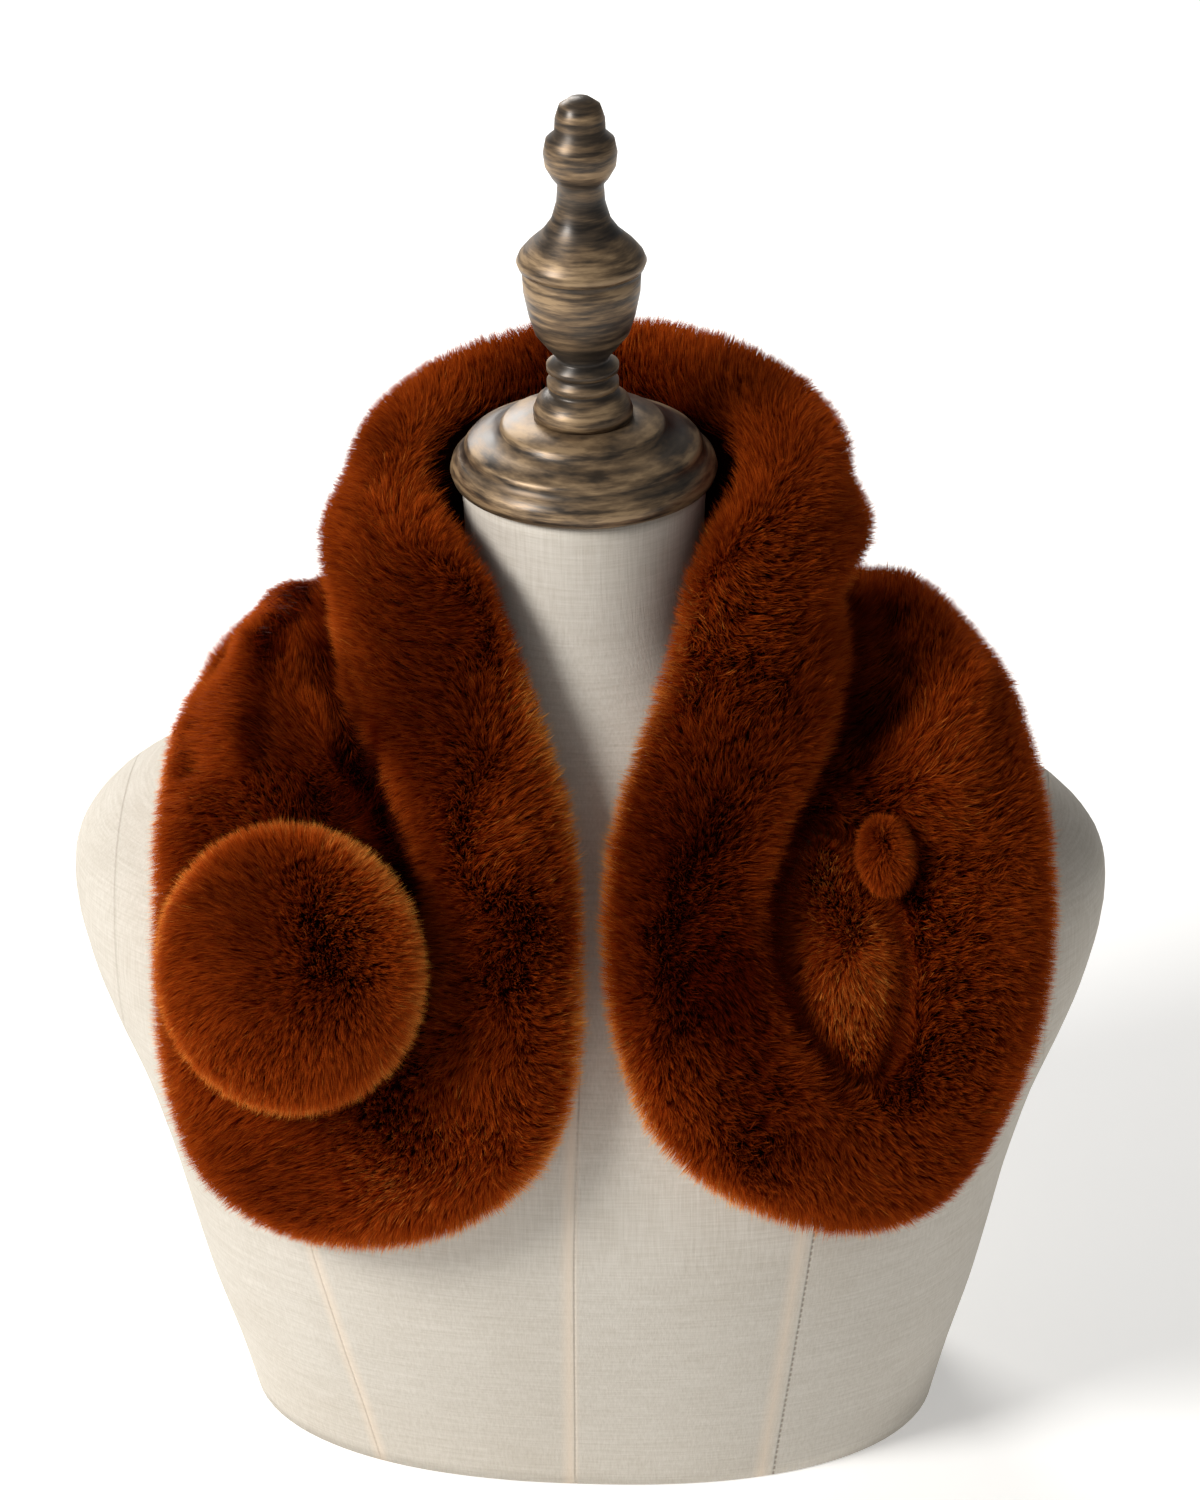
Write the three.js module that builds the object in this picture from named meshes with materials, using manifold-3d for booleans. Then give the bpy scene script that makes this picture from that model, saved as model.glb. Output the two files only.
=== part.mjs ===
// Fur collar wrap, worn round the neck of a limbless dress form.
// Millimetres, +Z up, the wearer faces -Y. The origin is the centre of the form's flat underside.
// A place on the form is given by its turn about the neck's axis, 0 degrees at the centre front and
// growing towards +X, and by its height above the underside.

import * as THREE from 'three';
import * as BufferGeometryUtils from 'three/addons/utils/BufferGeometryUtils.js';
import Module from 'manifold-3d';

const wasm = await Module();
wasm.setup();

// Driving sizes
const formHeight = 400;
const seamGap = 0.3;
const clothGap = 0.6;
const discRadius = 52;
const discHalfHeight = 54;
const discHalfDepth = 27;
const slitHalfWidth = 23;
const slitHalfLength = 50;
const tabHalfAcross = 11;
const tabHalfAlong = 16;
const tabHalfDepth = 10;
const flapGapX = 7.6;

// How the cloth's outer face is shaped, in mm, and as shares where the name says so
const rollFullness = 2.3;
const creaseWidth = 8;
const edgeRound = 20;
const layerBlend = 5;
const overhang = 2.5;
const edgeLiftShare = 0.4;
const ripple = { height: 0.7, sideways: 17, upwards: 23, slant: 19, depth: 14, start: 2 };
const lip = { reach: 14, shareLow: 0.42, below: 60 };

// Torso sections: height, half width, depth to the front and to the back, squareness
const torsoRows = [
  { height: 400, side: 46, front: 46, back: 46, square: 2.0 },
  { height: 378, side: 45, front: 46, back: 47, square: 2.0 },
  { height: 355, side: 47, front: 48, back: 51, square: 2.0 },
  { height: 338, side: 53, front: 53, back: 58, square: 2.0 },
  { height: 324, side: 68, front: 59, back: 66, square: 2.0 },
  { height: 310, side: 96, front: 66, back: 74, square: 2.0 },
  { height: 295, side: 130, front: 74, back: 82, square: 2.05 },
  { height: 279, side: 160, front: 82, back: 88, square: 2.1 },
  { height: 262, side: 187, front: 89, back: 92, square: 2.2 },
  { height: 242, side: 200, front: 96, back: 94, square: 2.3 },
  { height: 215, side: 198, front: 104, back: 95, square: 2.4 },
  { height: 185, side: 189, front: 111, back: 93, square: 2.4 },
  { height: 155, side: 177, front: 115, back: 90, square: 2.4 },
  { height: 120, side: 167, front: 114, back: 86, square: 2.4 },
  { height: 92, side: 161, front: 108, back: 84, square: 2.4 },
  { height: 60, side: 154, front: 100, back: 82, square: 2.4 },
  { height: 30, side: 146, front: 92, back: 80, square: 2.35 },
  { height: 0, side: 139, front: 86, back: 78, square: 2.3 },
];

// Above the neck the cloth clears the wooden cap and opens outwards to the roll's top
const openingRows = [
  { height: 442, side: 93, front: 93, back: 93, square: 2.0 },
  { height: 436, side: 80, front: 80, back: 80, square: 2.0 },
  { height: 429, side: 69, front: 69, back: 69, square: 2.0 },
  { height: 421, side: 60.5, front: 60.5, back: 60.5, square: 2.0 },
  { height: 412, side: 54.5, front: 54.5, back: 54.5, square: 2.0 },
  { height: 405, side: 52, front: 52, back: 52, square: 2.0 },
  { height: 398, side: 50.8, front: 50.8, back: 50.8, square: 2.0 },
  { height: 390, side: 48.5, front: 48.5, back: 48.5, square: 2.0 },
];

// Stations along the wrap, from the tip of the flap at -X round the back of the neck. Each goes from
// the neck edge (inTurn, inHeight) out to the free edge (outTurn, outHeight). The cloth is folded over
// on itself into a roll beside the neck edge: roll is its width, rise its height, cloth the height
// of the single layer beyond it, and crease how deep the fold's edge cuts in between the two.
const leftRows = [
  { inTurn: -36, inHeight: 133, outTurn: -41.5, outHeight: 132, roll: 3, rise: 0, cloth: 27, crease: 0 },
  { inTurn: -28, inHeight: 137, outTurn: -46, outHeight: 133, roll: 12, rise: 0, cloth: 28, crease: 0 },
  { inTurn: -18, inHeight: 147, outTurn: -52, outHeight: 137.5, roll: 32, rise: 0, cloth: 29, crease: 0 },
  { inTurn: -10, inHeight: 159, outTurn: -57.5, outHeight: 146, roll: 50, rise: 0, cloth: 29, crease: 0 },
  { inTurn: -3.5, inHeight: 174, outTurn: -60.5, outHeight: 162, roll: 60, rise: 20, cloth: 29, crease: 0 },
  { inTurn: 1, inHeight: 196, outTurn: -62.5, outHeight: 189, roll: 62, rise: 28, cloth: 29, crease: 0 },
  { inTurn: 3.5, inHeight: 222, outTurn: -64, outHeight: 221, roll: 62, rise: 31, cloth: 29, crease: 4 },
  { inTurn: 3.5, inHeight: 249, outTurn: -67, outHeight: 249, roll: 61, rise: 35, cloth: 29, crease: 9 },
  { inTurn: 3, inHeight: 276, outTurn: -73.5, outHeight: 270, roll: 62, rise: 39, cloth: 30, crease: 14 },
  { inTurn: 0, inHeight: 302, outTurn: -83, outHeight: 282, roll: 66, rise: 43, cloth: 31, crease: 17 },
  { inTurn: -8, inHeight: 329, outTurn: -92, outHeight: 287, roll: 71, rise: 48, cloth: 33, crease: 17 },
  { inTurn: -18, inHeight: 358, outTurn: -104, outHeight: 285, roll: 86, rise: 50, cloth: 32, crease: 13 },
  { inTurn: -28, inHeight: 383, outTurn: -116, outHeight: 285, roll: 95, rise: 53, cloth: 32, crease: 9 },
  { inTurn: -42, inHeight: 402, outTurn: -128, outHeight: 288, roll: 99, rise: 56, cloth: 31, crease: 13 },
  { inTurn: -66, inHeight: 415, outTurn: -141, outHeight: 290, roll: 104, rise: 60, cloth: 29, crease: 12 },
  { inTurn: -98, inHeight: 426, outTurn: -154, outHeight: 292, roll: 112, rise: 62, cloth: 30, crease: 10 },
  { inTurn: -134, inHeight: 434, outTurn: -167, outHeight: 293, roll: 119, rise: 65, cloth: 30, crease: 8 },
];
const backRow =
  { inTurn: -180, inHeight: 440, outTurn: -180, outHeight: 293, roll: 126, rise: 68, cloth: 30, crease: 8 };
const rightRows = [
  { inTurn: 134, inHeight: 439, outTurn: 167, outHeight: 293, roll: 123, rise: 73, cloth: 30, crease: 8 },
  { inTurn: 98, inHeight: 434, outTurn: 154, outHeight: 292, roll: 117, rise: 75, cloth: 30, crease: 10 },
  { inTurn: 68, inHeight: 419, outTurn: 141, outHeight: 290, roll: 106, rise: 67, cloth: 29, crease: 10 },
  { inTurn: 47, inHeight: 402, outTurn: 129, outHeight: 288, roll: 99, rise: 58, cloth: 36, crease: 3 },
  { inTurn: 39, inHeight: 381, outTurn: 117, outHeight: 286, roll: 95, rise: 52, cloth: 39, crease: 3 },
  { inTurn: 33, inHeight: 356, outTurn: 106, outHeight: 284, roll: 86, rise: 49, cloth: 37, crease: 9 },
  { inTurn: 22, inHeight: 327, outTurn: 95, outHeight: 280, roll: 75, rise: 46, cloth: 33, crease: 18 },
  { inTurn: 13, inHeight: 304, outTurn: 84, outHeight: 274, roll: 67, rise: 43, cloth: 31, crease: 17 },
  { inTurn: 8.2, inHeight: 281, outTurn: 76, outHeight: 260, roll: 64, rise: 39, cloth: 30, crease: 13 },
  { inTurn: 6.9, inHeight: 256, outTurn: 71.5, outHeight: 238, roll: 63, rise: 35, cloth: 30, crease: 7 },
  { inTurn: 7.7, inHeight: 232, outTurn: 69, outHeight: 213, roll: 62, rise: 31, cloth: 30, crease: 3 },
  { inTurn: 10.2, inHeight: 210, outTurn: 66.5, outHeight: 191, roll: 62, rise: 28, cloth: 30, crease: 0 },
  { inTurn: 14.5, inHeight: 187, outTurn: 63.5, outHeight: 170, roll: 56, rise: 22, cloth: 29, crease: 0 },
  { inTurn: 22, inHeight: 169, outTurn: 60, outHeight: 154, roll: 44, rise: 0, cloth: 29, crease: 0 },
  { inTurn: 30.5, inHeight: 155, outTurn: 56, outHeight: 145, roll: 30, rise: 0, cloth: 28, crease: 0 },
  { inTurn: 39, inHeight: 145, outTurn: 51.5, outHeight: 140.5, roll: 12, rise: 0, cloth: 28, crease: 0 },
  { inTurn: 44.5, inHeight: 141, outTurn: 48, outHeight: 139.5, roll: 3, rise: 0, cloth: 27, crease: 0 },
];

// Smaller folds of the gathered layer: ridges have a positive rise, furrows a negative one
const folds = [
  { fromTurn: -104, fromHeight: 303, toTurn: -82, toHeight: 303, width: 9, rise: 8 },
  { fromTurn: -82, fromHeight: 303, toTurn: -66, toHeight: 289, width: 9, rise: 8 },
  { fromTurn: -96, fromHeight: 312, toTurn: -62, toHeight: 303, width: 6, rise: -6 },
  { fromTurn: -118, fromHeight: 297, toTurn: -92, toHeight: 294, width: 7, rise: -8 },
  { fromTurn: -92, fromHeight: 294, toTurn: -73, toHeight: 281, width: 7, rise: -9 },
  { fromTurn: -64, fromHeight: 305, toTurn: -50, toHeight: 294, width: 8, rise: 8 },
  { fromTurn: -52, fromHeight: 288, toTurn: -46, toHeight: 272, width: 11, rise: -12 },
  { fromTurn: 98, fromHeight: 306, toTurn: 76, toHeight: 302, width: 8, rise: -10 },
  { fromTurn: 76, fromHeight: 302, toTurn: 60, toHeight: 287, width: 8, rise: -10 },
  { fromTurn: 112, fromHeight: 300, toTurn: 84, toHeight: 293, width: 9, rise: 6 },
  { fromTurn: 84, fromHeight: 293, toTurn: 70, toHeight: 281, width: 9, rise: 4 },
  { fromTurn: -150, fromHeight: 322, toTurn: -152, toHeight: 298, width: 8, rise: 5 },
  { fromTurn: -168, fromHeight: 320, toTurn: -166, toHeight: 298, width: 7, rise: -3 },
  { fromTurn: 172, fromHeight: 322, toTurn: 170, toHeight: 298, width: 8, rise: 5 },
  { fromTurn: 152, fromHeight: 320, toTurn: 150, toHeight: 298, width: 7, rise: -3 },
];

// Places of the pieces on the flaps: turn, height, lift off the form, lean in the cloth's plane
const discPlace = { turn: -46.5, height: 244, lift: 45, lean: 0 };
const slitPlace = { turn: 49, height: 246, lift: 0, lean: 6 };
const tabPlace = { across: 20, along: 37, lift: 22 };

// Mesh densities
const stationSteps = 3;
const rollSteps = 11;
const clothSteps = 10;
const backSteps = 15;
const runSamples = 160;
const torsoSegments = 48;
const turningSegments = 32;
const ballSegments = 24;
const ballRings = 16;
const slitSegments = 14;

// How often the outward directions and the roll's face are drawn even
const evenRounds = 14;
const fairRounds = 8;
const fairShare = 0.6;
const fullRise = 45;

const materials = {
  fur: new THREE.MeshStandardMaterial({ color: 0x8a3a0f, roughness: 0.95, metalness: 0 }),
  linen: new THREE.MeshStandardMaterial({ color: 0xc9c0ad, roughness: 0.9, metalness: 0 }),
  bronze: new THREE.MeshStandardMaterial({ color: 0x4d3f2f, roughness: 0.4, metalness: 0.35 }),
};

const clamp = (value, low, high) => Math.min(Math.max(value, low), high);
const round = (share) => Math.sqrt(1 - (1 - clamp(share, 0, 1)) ** 2);
const smoothStep = (share) => {
  const t = clamp(share, 0, 1);
  return t * t * (3 - 2 * t);
};
const softMax = (a, b, blend) => {
  const h = clamp(0.5 + (0.5 * (a - b)) / blend, 0, 1);
  return b + (a - b) * h + blend * h * (1 - h);
};

// Value between the rows of a table, at a whole or part row number
function between(rows, key, place) {
  const last = rows.length - 1;
  const start = clamp(Math.floor(place), 0, last - 1);
  const [a, b, c, d] = [-1, 0, 1, 2].map((step) => rows[clamp(start + step, 0, last)][key]);
  const t = place - start;
  const bend = (2 * a - 5 * b + 4 * c - d) * t * t + (3 * b - a - 3 * c + d) * t ** 3;
  return 0.5 * (2 * b + (c - a) * t + bend);
}

// A table's sections looked up by height, which falls from row to row
function makeSections(rows) {
  const keys = Object.keys(rows[0]);
  const steps = 20;
  const fine = [];
  for (let place = 0; place <= (rows.length - 1) * steps; place += 1) {
    fine.push(Object.fromEntries(keys.map((key) => [key, between(rows, key, place / steps)])));
  }
  return (height) => {
    let low = 0;
    let high = fine.length - 1;
    while (high - low > 1) {
      const middle = (low + high) >> 1;
      if (fine[middle].height > height) low = middle;
      else high = middle;
    }
    const [above, below] = [fine[low], fine[high]];
    const t = clamp((above.height - height) / (above.height - below.height), 0, 1);
    return Object.fromEntries(keys.map((key) => [key, above[key] * (1 - t) + below[key] * t]));
  };
}

const torsoSection = makeSections(torsoRows);
const restSection = makeSections([...openingRows, ...torsoRows.slice(1)]);

function onSection(section, turn, height) {
  const angle = THREE.MathUtils.degToRad(turn);
  const across = Math.sin(angle);
  const along = -Math.cos(angle);
  const depth = along < 0 ? section.front : section.back;
  const power = section.square;
  const acrossPart = (Math.abs(across) / section.side) ** power;
  const alongPart = (Math.abs(along) / depth) ** power;
  const reach = (acrossPart + alongPart) ** (-1 / power);
  return new THREE.Vector3(reach * across, reach * along, height);
}

// The surface that the cloth lies on, and the way out of it
const restPoint = (turn, height) => onSection(restSection(height), turn, height);
function restNormal(turn, height) {
  const step = 0.5;
  const aroundForm = restPoint(turn + step, height).sub(restPoint(turn - step, height));
  const upForm = restPoint(turn, height + step).sub(restPoint(turn, height - step));
  return aroundForm.cross(upForm).normalize();
}

function restFrame({ turn, height, lift, lean }) {
  const outward = restNormal(turn, height);
  const across = new THREE.Vector3(0, 0, 1).cross(outward).normalize();
  across.applyAxisAngle(outward, THREE.MathUtils.degToRad(lean));
  const along = outward.clone().cross(across);
  const origin = restPoint(turn, height).addScaledVector(outward, lift);
  return new THREE.Matrix4().makeBasis(across, along, outward).setPosition(origin);
}

function distanceToSegment(point, start, end) {
  const nearest = new THREE.Line3(start, end).closestPointToPoint(point, true, new THREE.Vector3());
  return nearest.distanceTo(point);
}

const foldLines = folds.map((fold) => ({
  start: restPoint(fold.fromTurn, fold.fromHeight),
  end: restPoint(fold.toTurn, fold.toHeight),
  width: fold.width,
  rise: fold.rise,
}));

// Signed distance to the slit's almond outline, in the slit's own plane
const slitArc = (slitHalfLength ** 2 + slitHalfWidth ** 2) / (2 * slitHalfWidth);
const slitDistance = (across, along) => {
  return Math.hypot(Math.abs(across) + slitArc - slitHalfWidth, along) - slitArc;
};
const slitFrame = restFrame(slitPlace);
const slitInverse = slitFrame.clone().invert();

// The closed mesh of a grid of rings between two end points
function closedRings(rings, startPoint, endPoint) {
  const count = rings[0].length;
  const points = [...rings.flat(), startPoint, endPoint];
  const index = [];
  for (let row = 0; row < rings.length - 1; row += 1) {
    for (let step = 0; step < count; step += 1) {
      const next = (step + 1) % count;
      const a = row * count + step;
      const b = row * count + next;
      const c = b + count;
      const d = a + count;
      index.push(a, b, c, a, c, d);
    }
  }
  const lastRow = (rings.length - 1) * count;
  for (let step = 0; step < count; step += 1) {
    const next = (step + 1) % count;
    index.push(points.length - 2, next, step);
    index.push(points.length - 1, lastRow + step, lastRow + next);
  }
  const geometry = new THREE.BufferGeometry().setFromPoints(points);
  geometry.setIndex(index);
  return geometry;
}

function toSolid(geometry) {
  const sameSpot = 1e-4;
  const bare = geometry.clone();
  bare.deleteAttribute('normal');
  bare.deleteAttribute('uv');
  const merged = BufferGeometryUtils.mergeVertices(bare, sameSpot);
  const corners = merged.index.array;
  const kept = [];
  for (let at = 0; at < corners.length; at += 3) {
    const [a, b, c] = corners.slice(at, at + 3);
    if (a !== b && b !== c && c !== a) kept.push(a, b, c);
  }
  return new wasm.Manifold(new wasm.Mesh({
    numProp: 3,
    vertProperties: new Float32Array(merged.attributes.position.array),
    triVerts: new Uint32Array(kept),
  }));
}

function toGeometry(solid) {
  const mesh = solid.getMesh();
  const geometry = new THREE.BufferGeometry();
  geometry.setAttribute('position', new THREE.BufferAttribute(new Float32Array(mesh.vertProperties), 3));
  geometry.setIndex([...mesh.triVerts]);
  const flat = geometry.toNonIndexed();
  flat.computeVertexNormals();
  return flat;
}

function makeTorso() {
  const heights = torsoRows.slice(1).map((row) => row.height);
  const fine = [formHeight - seamGap];
  let above = formHeight;
  heights.forEach((height) => {
    fine.push((above + height) / 2, height);
    above = height;
  });
  const rings = fine.reverse().map((height) => {
    const section = torsoSection(height);
    const ring = [];
    for (let step = 0; step < torsoSegments; step += 1) {
      ring.push(onSection(section, (360 * step) / torsoSegments, height));
    }
    return ring;
  });
  return closedRings(rings, new THREE.Vector3(0, 0, 0), new THREE.Vector3(0, 0, formHeight - seamGap));
}

// Every station of the wrap with its run of places from the neck edge to the free edge
function makeStations() {
  const turned = rightRows.map((row) => ({ ...row, inTurn: row.inTurn - 360, outTurn: row.outTurn - 360 }));
  const rows = [...leftRows, backRow, ...turned];
  const keys = Object.keys(rows[0]);
  const stations = [];
  for (let place = 0; place <= (rows.length - 1) * stationSteps; place += 1) {
    const row = Object.fromEntries(keys.map((key) => [key, between(rows, key, place / stationSteps)]));
    const run = [];
    let length = 0;
    for (let sample = 0; sample <= runSamples; sample += 1) {
      const share = sample / runSamples;
      const turn = row.inTurn + (row.outTurn - row.inTurn) * share;
      const height = row.inHeight + (row.outHeight - row.inHeight) * share;
      const point = restPoint(turn, height);
      if (sample > 0) length += point.distanceTo(run[sample - 1].point);
      run.push({ point, turn, height, length, normal: restNormal(turn, height) });
    }
    stations.push({ ...row, run, width: length });
  }
  return stations;
}

// Point, outward direction and direction across the cloth at a distance from the neck edge.
// The outward direction is the mean over a stretch, so that thick cloth doesn't fold into itself.
function placeOn(station, distance) {
  const stretch = 38;
  const { run } = station;
  let at = run.findIndex((sample) => sample.length >= distance);
  if (at < 1) at = distance <= 0 ? 1 : run.length - 1;
  const share = (distance - run[at - 1].length) / (run[at].length - run[at - 1].length);
  const point = run[at - 1].point.clone().lerp(run[at].point, clamp(share, 0, 1));
  const across = run[Math.min(at + 1, run.length - 1)].point.clone().sub(run[Math.max(at - 2, 0)].point);
  const outward = new THREE.Vector3();
  run.forEach((sample) => {
    const weight = 1 - Math.abs(sample.length - distance) / stretch;
    if (weight > 0) outward.addScaledVector(sample.normal, weight);
  });
  return { point, outward: outward.normalize(), across: across.normalize() };
}

// Height of the cloth's outer face above the surface it lies on
function clothHeight(station, distance, edgeDistance, point) {
  const rollShare = clamp(distance / station.roll, 0, 1);
  const rollShape = (1 - Math.abs(1 - 2 * rollShare) ** rollFullness) ** (1 / rollFullness);
  const rollHeight = station.rise * rollShape;
  const creaseShape = Math.exp(-(((distance - station.roll) / creaseWidth) ** 2));
  let layer = station.cloth;
  foldLines.forEach(({ start, end, width, rise }) => {
    layer += rise * Math.exp(-((distanceToSegment(point, start, end) / width) ** 2));
  });
  const firstWave = Math.sin(point.x / ripple.sideways + point.z / ripple.upwards);
  const secondWave = Math.sin(point.z / ripple.slant - point.y / ripple.depth + ripple.start);
  layer += ripple.height * (firstWave + secondWave);
  layer = layer * round(edgeDistance / edgeRound) - station.crease * creaseShape;
  let height = softMax(rollHeight, Math.max(layer, 0), layerBlend);
  const local = point.clone().applyMatrix4(slitInverse);
  const lipDistance = slitDistance(local.x, local.y);
  if (local.z > -lip.below && lipDistance < lip.reach) {
    height *= 1 - lip.shareLow * (1 - round((lipDistance + 1) / lip.reach));
  }
  return Math.max(height, 0);
}

// Distances from the neck edge at which a station's outer face is shaped
function spread(station) {
  const distances = [];
  for (let step = 0; step <= rollSteps; step += 1) {
    distances.push((station.roll * (1 - Math.cos((Math.PI * step) / rollSteps))) / 2);
  }
  for (let step = 1; step <= clothSteps; step += 1) {
    const share = (1 - Math.cos((Math.PI * step) / clothSteps)) / 2;
    distances.push(station.roll + (station.width - station.roll) * share);
  }
  return distances;
}

// Outward directions drawn towards those of the stations before and after
function evenOut(faces, rounds) {
  for (let pass = 0; pass < rounds; pass += 1) {
    const before = faces.map((row) => row.map((face) => face.outward.clone()));
    for (let row = 1; row < faces.length - 1; row += 1) {
      faces[row].forEach((face, column) => {
        const sides = before[row - 1][column].clone().add(before[row + 1][column]);
        face.outward.multiplyScalar(2).add(sides).normalize();
      });
    }
  }
}

// The roll's face drawn smooth along the wrap, most at its crown and not at its two edges
function fairRoll(rows, stations, rounds) {
  for (let pass = 0; pass < rounds; pass += 1) {
    const before = rows.map((row) => row.map((point) => point.clone()));
    for (let row = 1; row < rows.length - 1; row += 1) {
      for (let column = 1; column < rollSteps; column += 1) {
        const middle = before[row - 1][column].clone().lerp(before[row + 1][column], 0.5);
        const crown = Math.sin((Math.PI * column) / rollSteps) ** 2;
        const share = fairShare * crown * smoothStep(stations[row].rise / fullRise);
        rows[row][column].lerp(middle, share);
      }
    }
  }
}

function makeWrap(grow) {
  const stations = makeStations();
  const outline = [
    ...stations.map((station) => station.run[0].point),
    ...stations.map((station) => station.run[station.run.length - 1].point).reverse(),
  ];
  const toOutline = (point) => {
    let nearest = Infinity;
    outline.forEach((corner, at) => {
      const next = outline[(at + 1) % outline.length];
      nearest = Math.min(nearest, distanceToSegment(point, corner, next));
    });
    return nearest;
  };
  const liftStart = 0.4;
  const liftLength = 0.5;
  const edgeLift = (station, distance) => {
    const pastMiddle = (distance / station.roll - liftStart) / liftLength;
    const rollPart = 1 - smoothStep(pastMiddle);
    const extra = Math.max(station.rise - station.cloth, 0) * rollPart;
    return edgeLiftShare * (station.cloth + extra);
  };
  const liftFade = 1.6;
  const underFade = 1.3;
  const leanStart = 0.5;
  const leanLength = 0.35;
  const deepCrease = 18;
  const inner = stations.slice(1, -1);
  const faces = inner.map((station) => spread(station).map((distance) => placeOn(station, distance)));
  evenOut(faces, evenRounds);
  const outerFaces = inner.map((station, row) => {
    return spread(station).map((distance, column) => {
      const { point, outward, across } = faces[row][column];
      const height = clothHeight(station, distance, toOutline(point), point);
      const lift = edgeLift(station, distance);
      const total = height + lift * (1 - clamp(height / (liftFade * lift), 0, 1)) + grow;
      const rollShare = distance / station.roll;
      const onRoll = rollShare < 1 ? smoothStep((rollShare - leanStart) / leanLength) : 0;
      const leaning = onRoll * clamp(height / fullRise, 0, 1);
      const push = (overhang * leaning * Math.max(station.crease, 0)) / deepCrease;
      return point.clone().addScaledVector(outward, total + clothGap).addScaledVector(across, push);
    });
  });
  fairRoll(outerFaces, inner, fairRounds);
  const rings = inner.map((station, row) => {
    const under = [];
    for (let step = backSteps - 1; step > 0; step -= 1) {
      const distance = (station.width * (1 - Math.cos((Math.PI * step) / backSteps))) / 2;
      const { point, outward } = placeOn(station, distance);
      const lift = edgeLift(station, distance);
      const raised = lift * (1 - round(toOutline(point) / (underFade * lift)));
      under.push(point.addScaledVector(outward, raised + clothGap));
    }
    return [...outerFaces[row], ...under].reverse();
  });
  const tip = (station) => {
    const { point, outward } = placeOn(station, station.width / 2);
    return point.addScaledVector(outward, edgeLiftShare * station.cloth + clothGap);
  };
  return closedRings(rings, tip(stations[0]), tip(stations[stations.length - 1]));
}

// A flattened ball, with its middle plane at the frame's origin
function makeCushion(frame, halfAcross, halfAlong, halfDepth) {
  const ball = new THREE.SphereGeometry(1, ballSegments, ballRings);
  const spots = ball.attributes.position;
  const spot = new THREE.Vector3();
  for (let at = 0; at < spots.count; at += 1) {
    spot.fromBufferAttribute(spots, at);
    spots.setXYZ(at, spot.x * halfAcross, spot.y * halfAlong, spot.z * halfDepth);
  }
  return ball.applyMatrix4(frame);
}

// The almond cushion that fills the slit, thinner than the cloth around it
function makeKeeper(grow) {
  const middle = 9;
  const rise = 11;
  const depthBelow = 8;
  const endGap = 2;
  const sideGap = 0.5;
  const endThinning = 0.6;
  const atPole = 1e-6;
  const ball = new THREE.SphereGeometry(1, ballSegments, ballRings);
  const spots = ball.attributes.position;
  for (let at = 0; at < spots.count; at += 1) {
    const [x, y, z] = [spots.getX(at), spots.getY(at), spots.getZ(at)];
    const circle = Math.sqrt(Math.max(1 - y * y, 0));
    const along = y * (slitHalfLength - endGap);
    const half = Math.sqrt(slitArc ** 2 - along ** 2) - slitArc + slitHalfWidth - sideGap;
    const across = circle > atPole ? (x / circle) * half : 0;
    const depth = Math.max(half, 0) / slitHalfWidth;
    const height = z * (z > 0 ? rise : depthBelow) * depth ** endThinning;
    spots.setXYZ(at, across + x * grow, along + y * grow, middle + height + z * grow);
  }
  return ball.applyMatrix4(slitFrame);
}

// A prism through the cloth with the slit's almond outline, moved inwards by the inset
function makeSlitCutter(inset) {
  const shape = new THREE.Shape();
  const radius = slitArc - inset;
  const reach = Math.acos((slitArc - slitHalfWidth) / radius);
  shape.absarc(slitHalfWidth - slitArc, 0, radius, -reach, reach, false);
  shape.absarc(slitArc - slitHalfWidth, 0, radius, Math.PI - reach, Math.PI + reach, false);
  const depth = 90;
  const below = 30;
  const options = { depth, bevelEnabled: false, curveSegments: slitSegments };
  return new THREE.ExtrudeGeometry(shape, options).translate(0, 0, -below).applyMatrix4(slitFrame);
}

// The room on the +X side of the wrap's centre-back seam, running forward between the two flaps
function makeRightRoom(seamX) {
  const reach = 300;
  const stepY = 20;
  const shape = new THREE.Shape();
  shape.moveTo(seamX, stepY);
  shape.lineTo(flapGapX, stepY);
  shape.lineTo(flapGapX, -reach);
  shape.lineTo(reach, -reach);
  shape.lineTo(reach, reach);
  shape.lineTo(seamX, reach);
  shape.closePath();
  return new THREE.ExtrudeGeometry(shape, { depth: 2 * reach, bevelEnabled: false });
}

function makeTurning(profile, baseHeight) {
  const curve = profile.map(([radius, height]) => new THREE.Vector2(radius, baseHeight + height));
  return new THREE.LatheGeometry(curve, turningSegments).rotateX(Math.PI / 2);
}

// Turned wooden cap: a broad foot with two steps. Radius and height above the foot's underside.
const capProfile = [
  [0, 0], [46.5, 0], [49, 1.5], [50, 4.5], [49.2, 7.5], [46.5, 10.5], [44.3, 12], [44.6, 13.6],
  [43, 15.5], [37, 18], [31.5, 19.6], [31, 21.8], [29.5, 23.2], [20, 25], [0, 25],
];
// Turned finial: dome, two rings, urn with a collar, neck, bulb and knob
const finialProfile = [
  [0, 25.3], [18.6, 25.3], [18.6, 28], [17, 32], [13, 35], [11.4, 36], [13.4, 37.4], [13.4, 39.6], [11, 41],
  [11, 42.4], [13.5, 43.8], [13.5, 46], [10, 47.6], [9.6, 49], [13, 53], [17.6, 59], [19.8, 66], [21.6, 75],
  [22, 82], [20.8, 83.6], [23.2, 84.8], [24, 87], [23, 89.4], [20, 93], [14.5, 98], [11, 103], [9, 110],
  [8.5, 117], [10.5, 119.5], [13, 124], [13.6, 129], [12.6, 134], [9.4, 137], [9.2, 142], [7.6, 147],
  [4, 149.6], [0, 150],
];

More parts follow.
